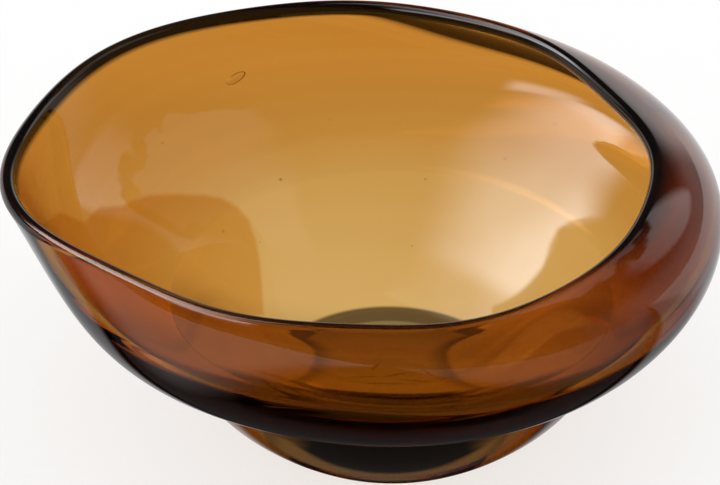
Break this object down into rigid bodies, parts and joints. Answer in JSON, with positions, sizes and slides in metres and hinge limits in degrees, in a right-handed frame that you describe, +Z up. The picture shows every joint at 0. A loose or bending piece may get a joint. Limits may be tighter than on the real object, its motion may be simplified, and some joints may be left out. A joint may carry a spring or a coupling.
{
  "type": "art glass bowl",
  "caption": "Free-formed thick amber glass bowl with a drawn-out soft point on one side, folded-in rim on the other, and a heavy ball-shaped base ground flat.",
  "frame": {"origin": "centre of the ground resting plane under the base", "axes": "+Z up out of the bowl's mouth, -X towards the drawn-out soft point of the rim, -Y towards the viewer's side"},
  "size_m": [0.2529, 0.2191, 0.1078],
  "materials": {
    "amber_glass": "fire-polished, clear amber, faint striae"
  },
  "bodies": {
    "root": {"bowl_body": "amber_glass", "base_gather": "amber_glass"}
  },
  "joints": []
}
